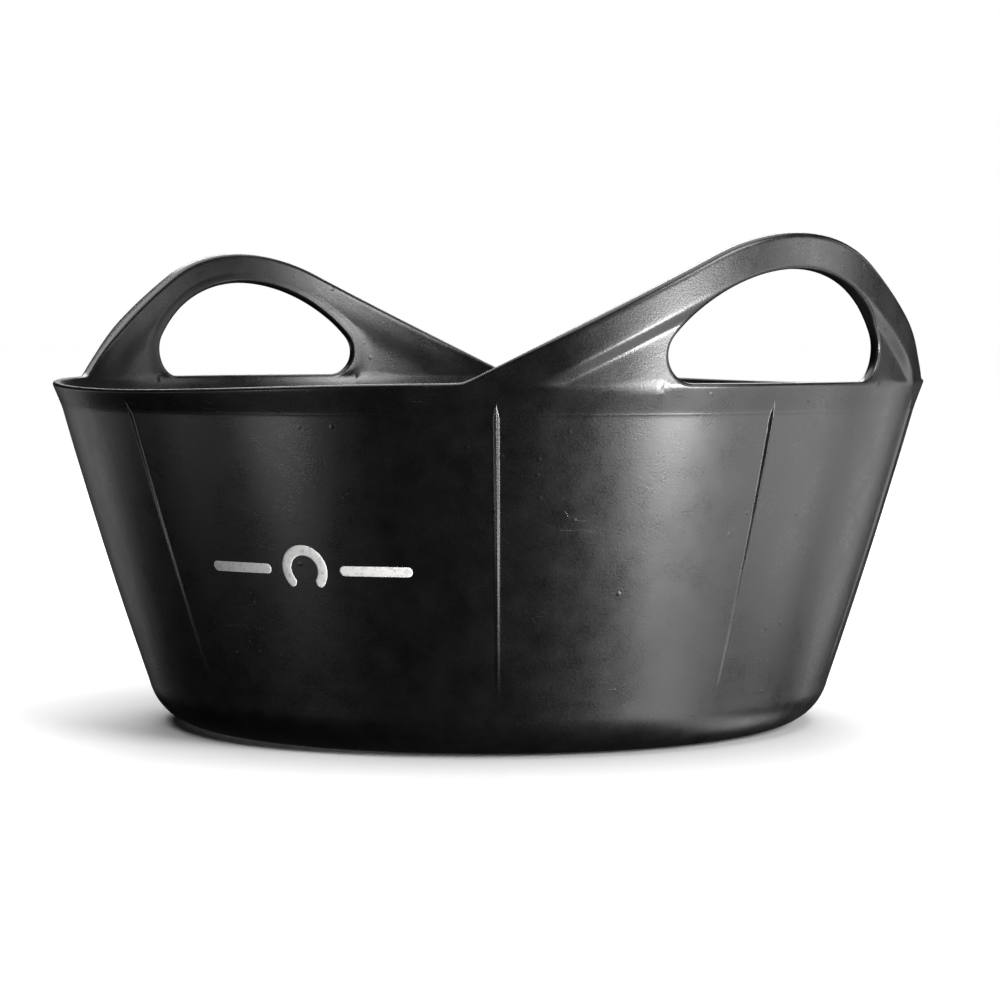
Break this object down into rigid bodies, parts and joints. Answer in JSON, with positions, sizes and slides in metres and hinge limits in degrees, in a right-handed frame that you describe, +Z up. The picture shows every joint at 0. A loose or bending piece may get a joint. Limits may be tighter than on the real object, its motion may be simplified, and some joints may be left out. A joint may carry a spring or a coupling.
{
  "type": "feed bucket",
  "caption": "Shallow round flexible stable feed tub, moulded in one with a pair of raised D-hole carrying handles, slim outside ribs and a flat base.",
  "frame": {"origin": "on the ground under the middle of the base", "axes": "+Z up through the mouth, +X towards one of the two handles, which stand on +X and -X"},
  "size_m": [0.4364, 0.4198, 0.2305],
  "materials": {
    "tub_plastic": "near-black soft polyethylene, semi-gloss with a fine grain",
    "print_ink": "matt white printing ink"
  },
  "bodies": {
    "root": {"floor_panel": "tub_plastic", "standing_ring": "tub_plastic", "heel_round_back": "tub_plastic", "heel_round_front": "tub_plastic", "wall_shell_back": "tub_plastic", "wall_shell_front": "tub_plastic", "collar_band_back": "tub_plastic", "collar_band_front": "tub_plastic", "rim_bead_back": "tub_plastic", "rim_bead_front": "tub_plastic", "handle_web_right": "tub_plastic", "handle_rail_right": "tub_plastic", "handle_web_left": "tub_plastic", "handle_rail_left": "tub_plastic", "wall_rib_1": "tub_plastic", "wall_rib_2": "tub_plastic", "wall_rib_3": "tub_plastic", "wall_rib_4": "tub_plastic", "wall_rib_5": "tub_plastic", "wall_rib_6": "tub_plastic", "wall_rib_7": "tub_plastic", "wall_rib_8": "tub_plastic", "print_horseshoe": "print_ink", "print_bar_left": "print_ink", "print_bar_right": "print_ink"}
  },
  "joints": []
}
